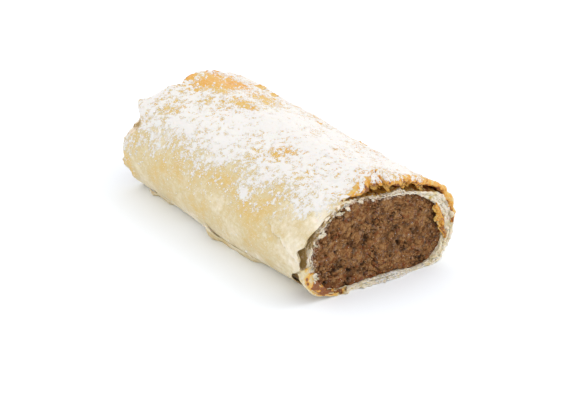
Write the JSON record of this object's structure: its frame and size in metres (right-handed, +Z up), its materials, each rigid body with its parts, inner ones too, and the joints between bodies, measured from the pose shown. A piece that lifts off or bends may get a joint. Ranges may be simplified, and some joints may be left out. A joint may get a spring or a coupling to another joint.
{
  "type": "nut strudel",
  "caption": "Cut length of strudel: thin baked dough rolled round a ground-nut filling that shows at its cut ends, flat underneath.",
  "frame": {"origin": "middle of the bounding box at the height of the flat base", "axes": "+X along the roll to the shown cut face, +Y to the back, +Z up"},
  "size_m": [0.1127, 0.0624, 0.0382],
  "materials": {
    "baked_dough": "matte",
    "ground_nut": "matte"
  },
  "bodies": {
    "root": {"strudel_pastry": "baked_dough", "nut_filling": "ground_nut"}
  },
  "joints": []
}
